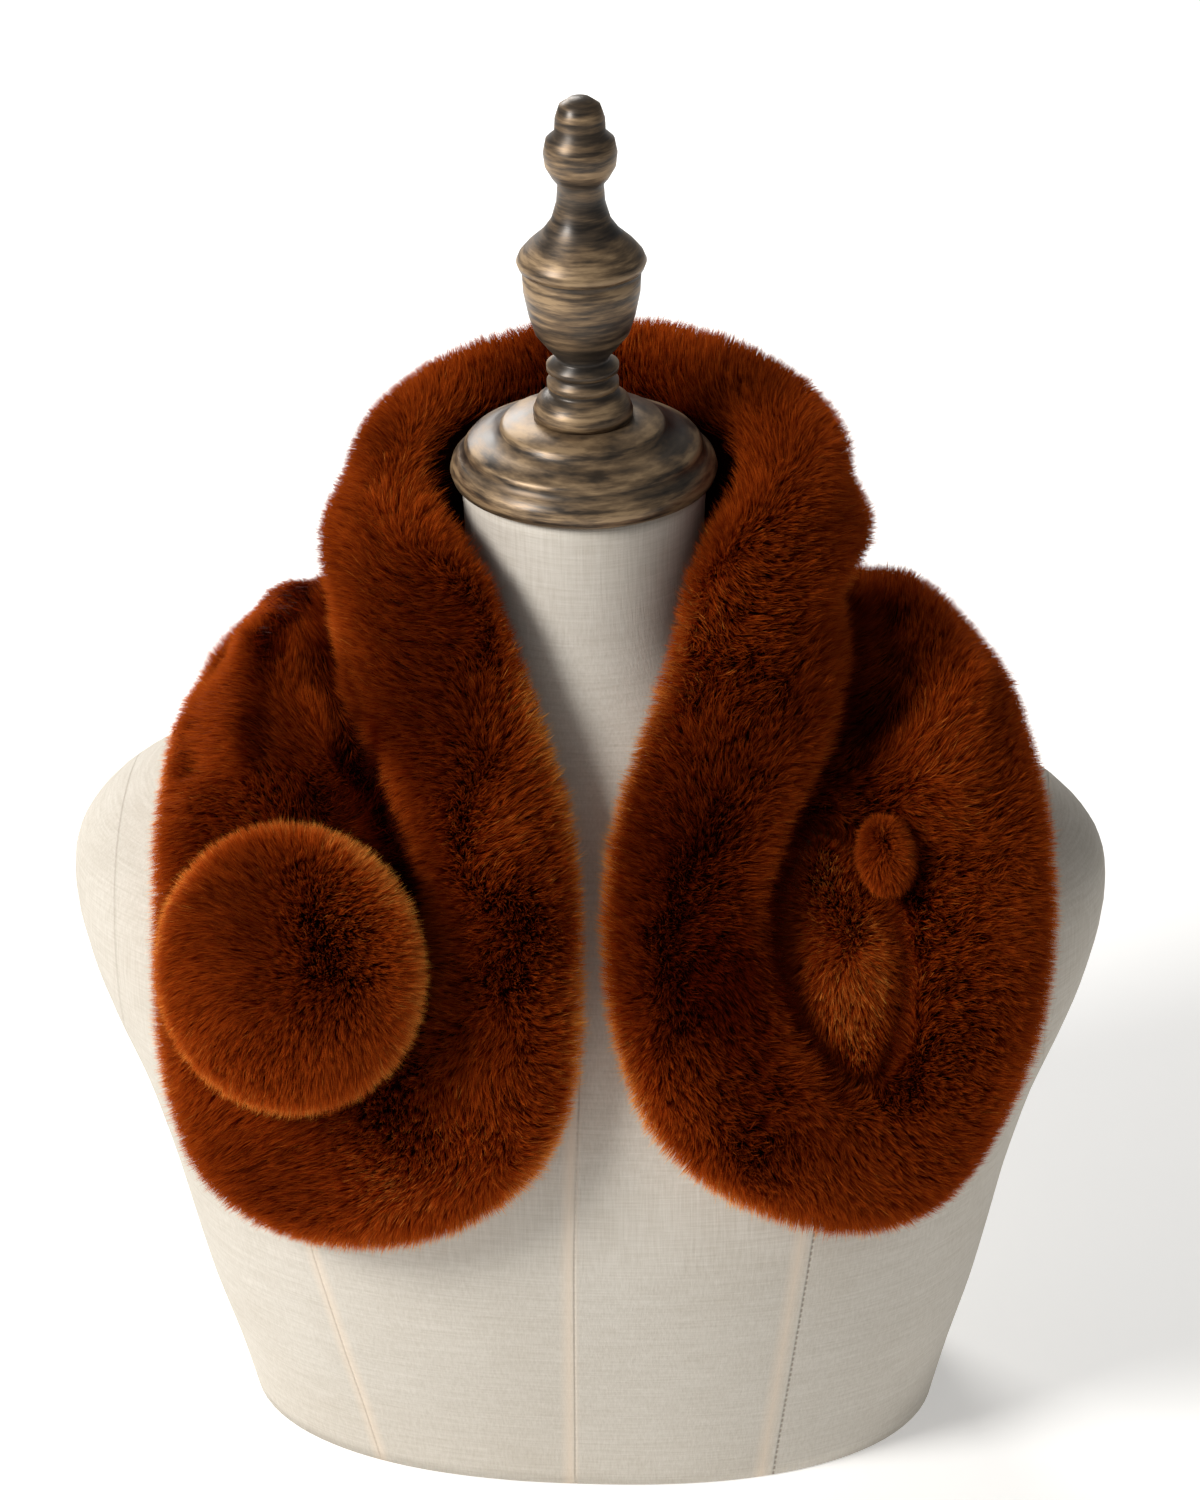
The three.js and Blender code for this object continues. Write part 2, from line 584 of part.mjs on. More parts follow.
const torso = toSolid(makeTorso());
const keeper = toSolid(makeKeeper(0));
const wrap = toSolid(makeWrap(0)).subtract(toSolid(makeSlitCutter(0)));
const wrapLeft = wrap.subtract(toSolid(makeRightRoom(-seamGap / 2)));
const wrapRight = wrap.intersect(toSolid(makeRightRoom(seamGap / 2)));
const wrapRoom = toSolid(makeWrap(seamGap)).subtract(toSolid(makeSlitCutter(seamGap)));
const wholeDisc = toSolid(makeCushion(restFrame(discPlace), discRadius, discHalfHeight, discHalfDepth));
const disc = wholeDisc.subtract(wrapRoom);
const tabShift = new THREE.Matrix4().makeTranslation(tabPlace.across, tabPlace.along, tabPlace.lift);
const tabFrame = slitFrame.clone().multiply(tabShift);
const wholeTab = toSolid(makeCushion(tabFrame, tabHalfAcross, tabHalfAlong, tabHalfDepth));
const keeperRoom = toSolid(makeKeeper(seamGap));
const tab = wholeTab.subtract(wrapRoom).subtract(keeperRoom);

function addPiece(group, name, geometry, material) {
  const mesh = new THREE.Mesh(geometry, material);
  mesh.name = name;
  group.add(mesh);
}

const model = new THREE.Group();
addPiece(model, 'form_torso', toGeometry(torso), materials.linen);
addPiece(model, 'form_neck_cap', makeTurning(capProfile, formHeight), materials.bronze);
addPiece(model, 'form_finial', makeTurning(finialProfile, formHeight), materials.bronze);
addPiece(model, 'wrap_left', toGeometry(wrapLeft), materials.fur);
addPiece(model, 'wrap_right', toGeometry(wrapRight), materials.fur);
addPiece(model, 'wrap_disc', toGeometry(disc), materials.fur);
addPiece(model, 'slit_keeper', toGeometry(keeper), materials.fur);
addPiece(model, 'slit_tab', toGeometry(tab), materials.fur);

export default model;
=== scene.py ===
import math
from collections import namedtuple

import bmesh
import bpy
import numpy as np
from mathutils import Matrix, Vector
from mathutils.bvhtree import BVHTree
from mathutils.kdtree import KDTree


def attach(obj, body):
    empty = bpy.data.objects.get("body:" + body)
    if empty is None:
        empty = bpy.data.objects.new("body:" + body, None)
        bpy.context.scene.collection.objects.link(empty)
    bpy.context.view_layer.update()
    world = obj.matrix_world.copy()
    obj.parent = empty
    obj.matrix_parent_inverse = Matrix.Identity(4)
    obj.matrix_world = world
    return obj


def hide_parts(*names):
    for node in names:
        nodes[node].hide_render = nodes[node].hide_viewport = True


MM = 0.001
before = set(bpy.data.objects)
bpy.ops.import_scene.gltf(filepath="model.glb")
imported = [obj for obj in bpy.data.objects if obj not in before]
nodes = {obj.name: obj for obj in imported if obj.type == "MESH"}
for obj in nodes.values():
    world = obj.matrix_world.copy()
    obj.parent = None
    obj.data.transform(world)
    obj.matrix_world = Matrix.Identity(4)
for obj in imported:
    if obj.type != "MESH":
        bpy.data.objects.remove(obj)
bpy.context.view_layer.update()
scene = bpy.context.scene


# Places where the pile dips and where shade is painted into the hair's tone, in mm: how wide, how deep,
# how much darker as painted shade, and from where to where. A negative darkness is a lighter place, painted
# light.
CreaseShade = namedtuple("CreaseShade", "wide deep dark start end")
creases_and_painted_shade = (
    # Edge of the rolled collar at -X
    CreaseShade(6, 4.5, 0.35, (-102.4, 14.3, 338.9), (-95.5, -13.4, 336.3)),
    CreaseShade(6, 4.5, 0.35, (-95.5, -13.4, 336.3), (-86.6, -55.5, 342.0)),
    CreaseShade(6, 4.5, 0.40, (-86.6, -55.5, 342.0), (-74.8, -79.4, 330.0)),
    CreaseShade(6, 4.5, 0.45, (-74.8, -79.4, 330.0), (-73.1, -79.9, 305.2)),
    CreaseShade(7, 4.5, 0.45, (-73.1, -79.9, 305.2), (-58.3, -101.0, 279.8)),
    # Small fold beside it, and the hollow below
    CreaseShade(5, 3.5, 0.30, (-92.4, -36.0, 328.4), (-86.7, -76.2, 320.5)),
    CreaseShade(5, 3.5, 0.35, (-86.7, -76.2, 320.5), (-72.6, -80.9, 304.1)),
    CreaseShade(13, 2.0, 0.35, (-83.7, -84.0, 305.6), (-66.0, -95.0, 288.0)),
    # Pleat of the left flap
    CreaseShade(6, 4.5, 0.35, (-112.0, 35.0, 337.0), (-118.9, -25.3, 341.3)),
    CreaseShade(6, 4.0, 0.30, (-118.9, -25.3, 341.3), (-120.5, -71.4, 317.1)),
    # Edge of the rolled collar at +X, and the valley beside it
    CreaseShade(6, 4.0, 0.40, (105.7, 8.2, 346.7), (101.3, -41.8, 329.7)),
    CreaseShade(6, 4.0, 0.40, (101.3, -41.8, 329.7), (84.1, -81.2, 300.0)),
    CreaseShade(6, 3.0, 0.40, (84.1, -81.2, 300.0), (75.7, -99.6, 276.4)),
    CreaseShade(4, 1.5, 0.30, (75.7, -99.6, 276.4), (81.9, -113.9, 242.4)),
    CreaseShade(4, 1.5, 0.30, (81.9, -113.9, 242.4), (104.7, -123.6, 205.9)),
    CreaseShade(10, 2.5, 0.30, (111.3, 20.2, 340.9), (108.8, -40.9, 321.1)),
    CreaseShade(10, 2.5, 0.30, (108.8, -40.9, 321.1), (108.0, -66.4, 309.4)),
    # Painted shade in the middle of the right flap, where the pile points at the viewer, and painted light
    # on lighter edges
    CreaseShade(24, 0.0, 0.26, (46.0, -112.0, 300.0), (56.6, -124.4, 256.4)),
    CreaseShade(24, 0.0, 0.26, (56.6, -124.4, 256.4), (78.0, -128.0, 212.0)),
    CreaseShade(22, 0.0, -0.15, (-112.0, -125.0, 192.0), (-69.2, -138.9, 166.2)),
    CreaseShade(22, 0.0, -0.15, (-69.2, -138.9, 166.2), (-28.0, -134.0, 182.0)),
    CreaseShade(20, 0.0, -0.15, (134.7, -35.2, 327.1), (154.5, -89.9, 273.1)),
)

# How a small piece's hair looks: how many of each kind, length, lean, tone, and painted light at its rim
# (painted shade where below nought)
Look = namedtuple("Look", "underfur guards pile lean tone glow")

# Seams of the linen's front: x at two heights, where the tape under it lies, how dark it shows
Seam = namedtuple("Seam", "low_x high_x tape dark")
seam_heights = (0.040, 0.130)
seams = (
    Seam(-0.0008, 0.0014, -0.0022, 0.10),
    Seam(-0.0875, -0.1040, 0.0, 0.08),
    Seam(0.0809, 0.0915, -0.0048, 0.75),
)


# Camera, light and floor


def add_camera():
    azimuth = math.radians(4.0)
    elevation = math.radians(28.0)
    roll = math.radians(-0.6)
    distance = 1.9
    target = Vector((0.004923, 0.0, 0.284047))
    back = Vector(
        (
            math.sin(azimuth) * math.cos(elevation),
            -math.cos(azimuth) * math.cos(elevation),
            math.sin(elevation),
        )
    )
    level = Vector((0, 0, 1)).cross(back).normalized()
    upright = back.cross(level)
    right = level * math.cos(roll) + upright * math.sin(roll)
    up = upright * math.cos(roll) - level * math.sin(roll)
    turn = Matrix((right, up, back)).transposed().to_4x4()
    data = bpy.data.cameras.new("camera")
    data.sensor_fit = "VERTICAL"
    data.sensor_height = 36.0
    data.lens = 118.44
    data.clip_end = 20.0
    camera = bpy.data.objects.new("camera", data)
    camera.matrix_world = Matrix.Translation(target + back * distance) @ turn
    scene.collection.objects.link(camera)
    scene.camera = camera


def add_area_light(name, place, aim, size, power, colour):
    data = bpy.data.lights.new(name, "AREA")
    data.shape = "DISK"
    data.size = size
    data.energy = power
    data.color = colour
    lamp = bpy.data.objects.new(name, data)
    lamp.location = place
    lamp.rotation_euler = (Vector(aim) - Vector(place)).to_track_quat("-Z", "Y").to_euler()
    scene.collection.objects.link(lamp)


def add_lights():
    add_area_light("key", (-1.76, -1.34, 1.85), (0, 0, 0.28), 0.9, 73, (1.0, 0.98, 0.95))
    add_area_light("back", (-0.7, 1.6, 1.2), (0, 0, 0.30), 1.2, 26, (1.0, 0.98, 0.95))
    world = bpy.data.worlds.new("studio")
    world.use_nodes = True
    background = world.node_tree.nodes["Background"]
    background.inputs["Color"].default_value = (1.0, 1.0, 1.0, 1)
    path = world.node_tree.nodes.new("ShaderNodeLightPath")
    level = world.node_tree.nodes.new("ShaderNodeMix")
    level.inputs[2].default_value = 0.18
    level.inputs[3].default_value = 1.0
    world.node_tree.links.new(path.outputs["Is Camera Ray"], level.inputs[0])
    world.node_tree.links.new(level.outputs[0], background.inputs["Strength"])
    scene.world = world
    scene.view_settings.view_transform = "Standard"


def add_floor():
    bpy.ops.mesh.primitive_plane_add(size=12, location=(0, 0, -0.0005))
    floor = bpy.context.object
    floor.name = "floor"
    mat = new_material("floor_paint")
    shader = mat.node_tree.nodes["Principled BSDF"]
    shader.inputs["Base Color"].default_value = (0.93, 0.93, 0.92, 1)
    shader.inputs["Roughness"].default_value = 0.9
    shader.inputs["Emission Color"].default_value = (1.0, 1.0, 1.0, 1)
    shader.inputs["Emission Strength"].default_value = 0.30
    floor.data.materials.append(mat)


# Node helpers


def new_material(name):
    mat = bpy.data.materials.new(name)
    mat.use_nodes = True
    return mat


class Nodes:
    """Short calls for building a material's nodes."""

    def __init__(self, mat):
        self.tree = mat.node_tree
        self.shader = self.tree.nodes["Principled BSDF"]
        self.output = self.tree.nodes["Material Output"]

    def add(self, kind, **settings):
        node = self.tree.nodes.new(kind)
        for key, value in settings.items():
            setattr(node, key, value)
        return node

    def link(self, a, b):
        self.tree.links.new(a, b)

    def feed(self, socket, value):
        if isinstance(value, bpy.types.NodeSocket):
            self.link(value, socket)
        else:
            socket.default_value = value

    def maths(self, operation, a, b=0.0, clamp=False):
        node = self.add("ShaderNodeMath", operation=operation, use_clamp=clamp)
        self.feed(node.inputs[0], a)
        self.feed(node.inputs[1], b)
        return node.outputs[0]

    def ramp(self, value, stops):
        node = self.add("ShaderNodeValToRGB")
        while len(node.color_ramp.elements) < len(stops):
            node.color_ramp.elements.new(0.5)
        for element, (place, colour) in zip(node.color_ramp.elements, stops):
            element.position = place
            element.color = (*colour, 1)
        self.feed(node.inputs[0], value)
        return node.outputs[0]

    def mix(self, factor, a, b, blend="MIX"):
        node = self.add("ShaderNodeMix", data_type="RGBA", blend_type=blend)
        self.feed(node.inputs[0], factor)
        self.feed(node.inputs[6], a if not isinstance(a, tuple) else (*a, 1))
        self.feed(node.inputs[7], b if not isinstance(b, tuple) else (*b, 1))
        return node.outputs[2]

    def place(self):
        return self.add("ShaderNodeTexCoord").outputs["Object"]

    def stretched(self, vector, scale):
        node = self.add("ShaderNodeMapping")
        node.inputs["Scale"].default_value = scale
        self.link(vector, node.inputs["Vector"])
        return node.outputs[0]

    def noise(self, vector, scale, detail=3.0, roughness=0.5):
        node = self.add("ShaderNodeTexNoise")
        node.inputs["Scale"].default_value = scale
        node.inputs["Detail"].default_value = detail
        node.inputs["Roughness"].default_value = roughness
        self.link(vector, node.inputs["Vector"])
        return node.outputs["Fac"]

    def near(self, value, middle, reach):
        """One where the value is the middle, falling to nought at the reach."""
        away = self.maths("ABSOLUTE", self.maths("SUBTRACT", value, middle))
        return self.maths("SUBTRACT", 1.0, self.maths("DIVIDE", away, reach), clamp=True)

    def bump(self, height, strength, distance, before=None):
        node = self.add("ShaderNodeBump")
        node.inputs["Strength"].default_value = strength
        node.inputs["Distance"].default_value = distance
        self.link(height, node.inputs["Height"])
        if before is not None:
            self.link(before, node.inputs["Normal"])
        return node.outputs[0]


# Materials


def linen_material():
    mat = new_material("linen")
    n = Nodes(mat)
    place = n.place()
    across = n.noise(n.stretched(place, (1.0, 1.0, 0.04)), 1300.0, 4.0, 0.65)
    along = n.noise(n.stretched(place, (0.04, 0.04, 1.0)), 1300.0, 4.0, 0.65)
    weave = n.maths("MULTIPLY", n.maths("ADD", across, along), 0.5)
    blotch = n.noise(place, 14.0, 4.0)
    thread = n.ramp(weave, [(0.36, (0.485, 0.44, 0.37)), (0.64, (0.67, 0.63, 0.565))])
    colour = n.mix(0.3, thread, n.ramp(blotch, [(0.3, (0.52, 0.47, 0.40)), (0.7, (0.65, 0.615, 0.555))]))
    parts = n.add("ShaderNodeSeparateXYZ")
    n.link(place, parts.inputs[0])
    x, y, z = parts.outputs
    faces_front = n.maths("MULTIPLY", y, -100.0, clamp=True)
    below_neck = n.maths("MULTIPLY", n.maths("SUBTRACT", 0.27, z), 25.0, clamp=True)
    front = n.maths("MULTIPLY", faces_front, below_neck)
    dent = n.near(n.maths("SUBTRACT", n.maths("ABSOLUTE", x), 0.178), 0.0, 0.0007)
    colour = n.mix(n.maths("MULTIPLY", dent, 0.22), colour, (0.30, 0.25, 0.19))
    stitch = n.maths("ADD", n.maths("SINE", n.maths("MULTIPLY", z, 2100.0)), 0.9, clamp=True)
    for seam in seams:
        slope = (seam.high_x - seam.low_x) / (seam_heights[1] - seam_heights[0])
        start = seam.low_x - slope * seam_heights[0]
        beside_seam = n.maths("SUBTRACT", x, n.maths("ADD", n.maths("MULTIPLY", z, slope), start))
        tape = n.maths("MULTIPLY", n.near(beside_seam, seam.tape, 0.0042), front)
        colour = n.mix(n.maths("MULTIPLY", tape, 0.6), colour, (0.76, 0.63, 0.50))
        line = n.maths("MULTIPLY", n.near(beside_seam, 0.0, 0.0007), front)
        dark = n.maths("MULTIPLY", n.maths("MULTIPLY", line, stitch), seam.dark)
        colour = n.mix(dark, colour, (0.16, 0.12, 0.085))
        dent = n.maths("MAXIMUM", dent, line)
    n.link(colour, n.shader.inputs["Base Color"])
    n.shader.inputs["Roughness"].default_value = 0.85
    n.shader.inputs["Specular IOR Level"].default_value = 0.25
    cloth_face = n.bump(weave, 0.5, 0.0006)
    n.link(n.bump(n.maths("SUBTRACT", 1.0, dent), 0.5, 0.0008, cloth_face), n.shader.inputs["Normal"])
    return mat


def bronze_material():
    mat = new_material("brushed_bronze_paint")
    n = Nodes(mat)
    place = n.place()
    streak = n.noise(n.stretched(place, (0.12, 0.12, 1.0)), 420.0, 4.0, 0.6)
    patch = n.noise(n.stretched(place, (0.6, 0.6, 1.0)), 38.0, 3.0)
    edge = n.add("ShaderNodeAttribute", attribute_name="edge").outputs["Fac"]
    rubbed = n.maths("MULTIPLY", edge, n.maths("MULTIPLY", streak, 0.26))
    gold = n.maths("ADD", n.maths("MULTIPLY", streak, n.maths("ADD", patch, 0.25)), rubbed)
    colour = n.ramp(
        gold,
        [
            (0.26, (0.022, 0.017, 0.013)),
            (0.38, (0.062, 0.044, 0.029)),
            (0.50, (0.165, 0.108, 0.060)),
            (0.64, (0.340, 0.230, 0.125)),
        ],
    )
    n.link(colour, n.shader.inputs["Base Color"])
    n.shader.inputs["Metallic"].default_value = 0.35
    n.link(n.ramp(streak, [(0.3, (0.30,) * 3), (0.7, (0.50,) * 3)]), n.shader.inputs["Roughness"])
    n.link(n.bump(streak, 0.25, 0.0003), n.shader.inputs["Normal"])
    return mat


def skin_material():
    mat = new_material("fur_skin")
    n = Nodes(mat)
    grain = n.noise(n.place(), 700.0, 4.0, 0.7)
    colour = n.ramp(grain, [(0.35, (0.010, 0.0015, 0.0006)), (0.7, (0.035, 0.005, 0.0015))])
    n.link(colour, n.shader.inputs["Base Color"])
    n.shader.inputs["Roughness"].default_value = 1.0
    n.shader.inputs["Specular IOR Level"].default_value = 0.0
    n.link(n.bump(grain, 0.8, 0.001), n.shader.inputs["Normal"])
    return mat


def fur_material():
    """Colour runs from root to tip along V, the roots darker partly as the fur's own colour and partly as
    painted shade deep in the pile, and from deep red to golden tan along U, which also carries painted
    shade and light.
    """
    mat = new_material("dyed_fur")
    n = Nodes(mat)
    strand = n.add("ShaderNodeUVMap", uv_map="Strand")
    parts = n.add("ShaderNodeSeparateXYZ")
    n.link(strand.outputs[0], parts.inputs[0])
    tone, along = parts.outputs[0], parts.outputs[1]
    deep = n.ramp(
        along,
        [(0.0, (0.012, 0.0005, 0.0001)), (0.5, (0.065, 0.0030, 0.0002)), (1.0, (0.190, 0.0150, 0.0008))],
    )
    bright = n.ramp(
        along,
        [(0.0, (0.060, 0.0030, 0.0002)), (0.5, (0.450, 0.0360, 0.0012)), (1.0, (1.000, 0.2200, 0.0220))],
    )
    golden = n.maths("MULTIPLY", n.maths("SUBTRACT", tone, 0.65), 3.5, clamp=True)
    golden = n.maths("MULTIPLY", golden, n.maths("POWER", along, 1.4))
    colour = n.mix(golden, n.mix(tone, deep, bright), (1.0, 0.53, 0.10))
    n.link(colour, n.shader.inputs["Base Color"])
    n.shader.inputs["Roughness"].default_value = 0.6
    n.shader.inputs["Specular IOR Level"].default_value = 0.12
    n.shader.inputs["Specular Tint"].default_value = (1.0, 0.4, 0.12, 1)
    through = n.add("ShaderNodeBsdfTranslucent")
    n.link(colour, through.inputs["Color"])
    both = n.add("ShaderNodeMixShader")
    both.inputs[0].default_value = 0.45
    n.link(n.shader.outputs[0], both.inputs[1])
    n.link(through.outputs[0], both.inputs[2])
    n.link(both.outputs[0], n.output.inputs["Surface"])
    return mat


# Meshes


def joined_mesh(names):
    """One mesh with the faces of several nodes, its doubled points joined."""
    whole = bmesh.new()
    for name in names:
        whole.from_mesh(nodes[name].data)
    bmesh.ops.remove_doubles(whole, verts=whole.verts, dist=0.02 * MM)
    mesh = bpy.data.meshes.new("joined")
    whole.to_mesh(mesh)
    whole.free()
    return mesh


def remeshed(names, voxel, smooth, swell=0.0):
    """An even, smooth copy of several nodes' shared surface, moved out by swell."""
    start = bpy.data.objects.new("start", joined_mesh(names))
    scene.collection.objects.link(start)
    remesh = start.modifiers.new("remesh", "REMESH")
    remesh.mode = "VOXEL"
    remesh.voxel_size = voxel
    soften = start.modifiers.new("soften", "SMOOTH")
    soften.factor = 0.5
    soften.iterations = smooth
    graph = bpy.context.evaluated_depsgraph_get()
    mesh = bpy.data.meshes.new_from_object(start.evaluated_get(graph))
    bpy.data.objects.remove(start)
    moved = points_of(mesh) + normals_of(mesh) * swell
    mesh.vertices.foreach_set("co", moved.ravel())
    mesh.update()
    return mesh


def add_piece(name, mesh, mat, replaced=()):
    piece = bpy.data.objects.new(name, mesh)
    scene.collection.objects.link(piece)
    mesh.materials.clear()
    mesh.materials.append(mat)
    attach(piece, "root")
    if replaced:
        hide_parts(*replaced)
    return piece


def points_of(mesh):
    found = np.empty(len(mesh.vertices) * 3)
    mesh.vertices.foreach_get("co", found)
    return found.reshape(-1, 3)


def normals_of(mesh):
    found = np.empty(len(mesh.vertices) * 3)
    mesh.vertices.foreach_get("normal", found)
    return found.reshape(-1, 3)


def triangles_of(mesh):
    mesh.calc_loop_triangles()
    found = np.empty(len(mesh.loop_triangles) * 3, np.int64)
    mesh.loop_triangles.foreach_get("vertices", found)
    return found.reshape(-1, 3)


def unit(v):
    return v / np.maximum(np.linalg.norm(v, axis=-1, keepdims=True), 1e-12)


# Fur


class Waves:
    """A smooth field of small random pushes, made of plane waves."""

    def __init__(self, rng, length, count=14):
        ways = unit(rng.normal(size=(count, 3)))
        self.waves = ways * (2 * math.pi / (length * rng.uniform(0.7, 1.4, size=(count, 1))))
        self.starts = rng.uniform(0, 2 * math.pi, count)
        self.pushes = rng.normal(size=(count, 3)) / math.sqrt(count)

    def at(self, points):
        return np.sin(points @ self.waves.T + self.starts) @ self.pushes


def tree_of(mesh):
    return BVHTree.FromPolygons(
        [Vector(p) for p in points_of(mesh)], [tuple(t) for t in triangles_of(mesh)]
    )


def tree_of_nodes(*names):
    return tree_of(joined_mesh(names))


def evened(mesh, values, rounds):
    """Values at a mesh's points, each drawn to the mean of its neighbours'."""
    count = len(mesh.vertices)
    edges = np.empty(len(mesh.edges) * 2, np.int64)
    mesh.edges.foreach_get("vertices", edges)
    a, b = edges.reshape(-1, 2).T
    meets = np.bincount(a, minlength=count) + np.bincount(b, minlength=count)
    for _ in range(rounds):
        total = np.stack(
            [
                np.bincount(a, values[b, k], count) + np.bincount(b, values[a, k], count)
                for k in range(3)
            ],
            1,
        )
        values = total / np.maximum(meets, 1)[:, None]
    return values


def lowest(mesh, values, rounds):
    """Values at a mesh's points, each lowered to the least of its neighbours'."""
    edges = np.empty(len(mesh.edges) * 2, np.int64)
    mesh.edges.foreach_get("vertices", edges)
    a, b = edges.reshape(-1, 2).T
    for _ in range(rounds):
        low = values.copy()
        np.minimum.at(low, a, values[b])
        np.minimum.at(low, b, values[a])
        values = low
    return values


def off_segment(points, start, end):
    """Distance of each point from the line between two places given in mm."""
    start, end = np.array(start) * MM, np.array(end) * MM
    way = end - start
    share = np.clip((points - start) @ way / (way @ way), 0, 1)
    return np.linalg.norm(points - start - share[:, None] * way, axis=1)


def wall_depth(mesh, points, normals, most):
    """How far the surface goes inwards at each point before it comes out again."""
    tree = tree_of(mesh)
    depths = np.full(len(points), most)
    for i, (p, normal) in enumerate(zip(points, normals)):
        way = Vector(-normal)
        hit = tree.ray_cast(Vector(p) + way * 0.4 * MM, way, most)
        if hit[0] is not None:
            depths[i] = hit[3]
    return lowest(mesh, depths, 2)


def beside(tree, points):
    """Height of each point over a surface, below nought inside it, and the surface's normal there."""
    heights, normals = np.empty(len(points)), np.empty((len(points), 3))
    for i, p in enumerate(points):
        place, normal, _, distance = tree.find_nearest(Vector(p))
        heights[i] = distance if (Vector(p) - place).dot(normal) > 0 else -distance
        normals[i] = normal
    return heights, normals


class Pelt:
    """A surface that hair grows on: its shape, where hair grows and how long it is there, and the painted
    shade and light for its hair's tone.
    """

    creep = 2.6 * MM
    deepest = 5.5 * MM

    def __init__(self, seed, mesh, form, neighbours, shading, seamed=False):
        self.rng = np.random.default_rng(seed)
        self.broad, self.narrow = Waves(self.rng, 70 * MM), Waves(self.rng, 20 * MM)
        self.mesh, self.form = mesh, form
        self.points, self.faces = points_of(mesh), triangles_of(mesh)
        self.closing = seamed & on_seam(self.points)[self.faces].all(1)
        past_seam = np.ones(len(self.points))
        if seamed:
            behind = self.points[:, 1] > 0
            past_seam[behind] = np.clip(np.abs(self.points[behind, 0]) / (8 * MM) - 0.1, 0, 1)
        self.own_normals = normals_of(mesh)
        self.normals = evened(mesh, self.own_normals, 3)
        for normals in (self.own_normals, self.normals):
            normals[:, 0] *= past_seam
        self.own_normals, self.normals = unit(self.own_normals), unit(self.normals)
        self.depths = wall_depth(mesh, self.points, self.own_normals, 40 * MM)
        height, form_normals = beside(form, self.points)
        near = np.clip(1 - np.abs(beside(neighbours, self.points)[0]) / (6 * MM), 0, 1)
        shaded = np.clip(1 - np.abs(beside(shading, self.points)[0]) / (7 * MM), 0, 1)
        hollow = ((evened(mesh, self.points, 14) - self.points) * self.normals).sum(1)
        sunk = np.clip(hollow * 1.4 - 0.4 * MM, 0, self.deepest)
        # Painted shade: a darker tone in hollows, beside neighbouring and shading pieces and along the
        # table's creases; a negative darkness there is painted light
        self.dark = 0.16 * sunk / self.deepest + 0.45 * np.maximum(near, shaded)
        for crease_shade in creases_and_painted_shade:
            away = off_segment(self.points, crease_shade.start, crease_shade.end) / (crease_shade.wide * MM)
            inside = np.exp(-(away**2))
            sunk = np.maximum(sunk, crease_shade.deep * MM * inside)
            self.dark += crease_shade.dark * inside
        self.sunk = sunk * (1 - near) - self.creep * near
        # Painted light: a lighter tone where the pile's surface turns steeply from the form, less near the
        # top and beside other pieces; it also lengthens the hair there
        steep = np.clip(1.25 - 1.6 * np.abs((self.normals * form_normals).sum(1)), 0, 1)
        broad = evened(mesh, np.repeat(steep[:, None], 3, 1), 22)[:, 0]
        between_pieces = np.clip(1.5 - np.abs(beside(neighbours, self.points)[0]) / (10 * MM), 0, 1)
        upper = np.clip((0.40 - self.points[:, 2]) / 0.08, 0.05, 1)
        self.rim = (0.45 * steep + 0.75 * broad) * upper * (1 - np.maximum(between_pieces, shaded))
        self.weights = np.clip((height - 3 * MM) / (8 * MM), 0, 1)

    def scatter(self, count):
        """Random places on the pelt: points, normals and the nearest of its own points."""
        a, b, c = (self.points[self.faces[:, k]] for k in range(3))
        areas = np.linalg.norm(np.cross(b - a, c - a), axis=1) / 2
        shares = areas * self.weights[self.faces].mean(1) * ~self.closing
        picked = self.rng.choice(len(self.faces), count, p=shares / shares.sum())
        r, s = np.sqrt(self.rng.random(count)), self.rng.random(count)
        parts = np.stack([1 - r, r * (1 - s), r * s], 1)
        where = (self.points[self.faces[picked]] * parts[..., None]).sum(1)
        facing = unit((self.normals[self.faces[picked]] * parts[..., None]).sum(1))
        return where, facing, self.faces[picked, parts.argmax(1)]


def nearest_tufts(points, centres):
    tree = KDTree(len(centres))
    for i, c in enumerate(centres):
        tree.insert(c, i)
    tree.balance()
    return np.array([tree.find(p)[1] for p in points])


def blades(roots, tips, bends, widths, tones, rng):
    """A mesh of flat tapered hairs. With bends, each has a joint part way up."""
    count = len(roots)
    ways = unit(tips - roots)
    sides = unit(np.cross(ways, rng.normal(size=(count, 3)))) * widths[:, None] / 2
    if bends is None:
        corners = np.stack([roots - sides, roots + sides, tips], 1)
        heights = np.tile([0.0, 0.0, 1.0], (count, 1))
        shifts = np.tile([-1.0, 1.0, 0.0], (count, 1))
        pattern = np.array([0, 1, 2])
    else:
        corners = np.stack(
            [roots - sides, roots + sides, bends + sides * 0.8, bends - sides * 0.8, tips], 1
        )
        heights = np.tile([0.0, 0.0, 0.55, 0.55, 1.0], (count, 1))
        shifts = np.tile([-1.0, 1.0, 1.0, -1.0, 0.0], (count, 1))
        pattern = np.array([0, 1, 2, 0, 2, 3, 3, 2, 4])
    each = corners.shape[1]
    faces = (np.arange(count)[:, None] * each + pattern).ravel()
    u = np.repeat(tones, each) + shifts.ravel() * 0.004
    v = heights.ravel() * 0.98 + 0.01
    mesh = bpy.data.meshes.new("hairs")
    mesh.vertices.add(count * each)
    mesh.vertices.foreach_set("co", corners.ravel())
    mesh.loops.add(len(faces))
    mesh.loops.foreach_set("vertex_index", faces)
    mesh.polygons.add(len(faces) // 3)
    mesh.polygons.foreach_set("loop_start", np.arange(0, len(faces), 3))
    mesh.update(calc_edges=True)
    spots = np.stack([u[faces], v[faces]], 1).ravel()
    for name in ("Strand", "OFBake"):
        mesh.uv_layers.new(name=name).data.foreach_set("uv", spots)
    return mesh


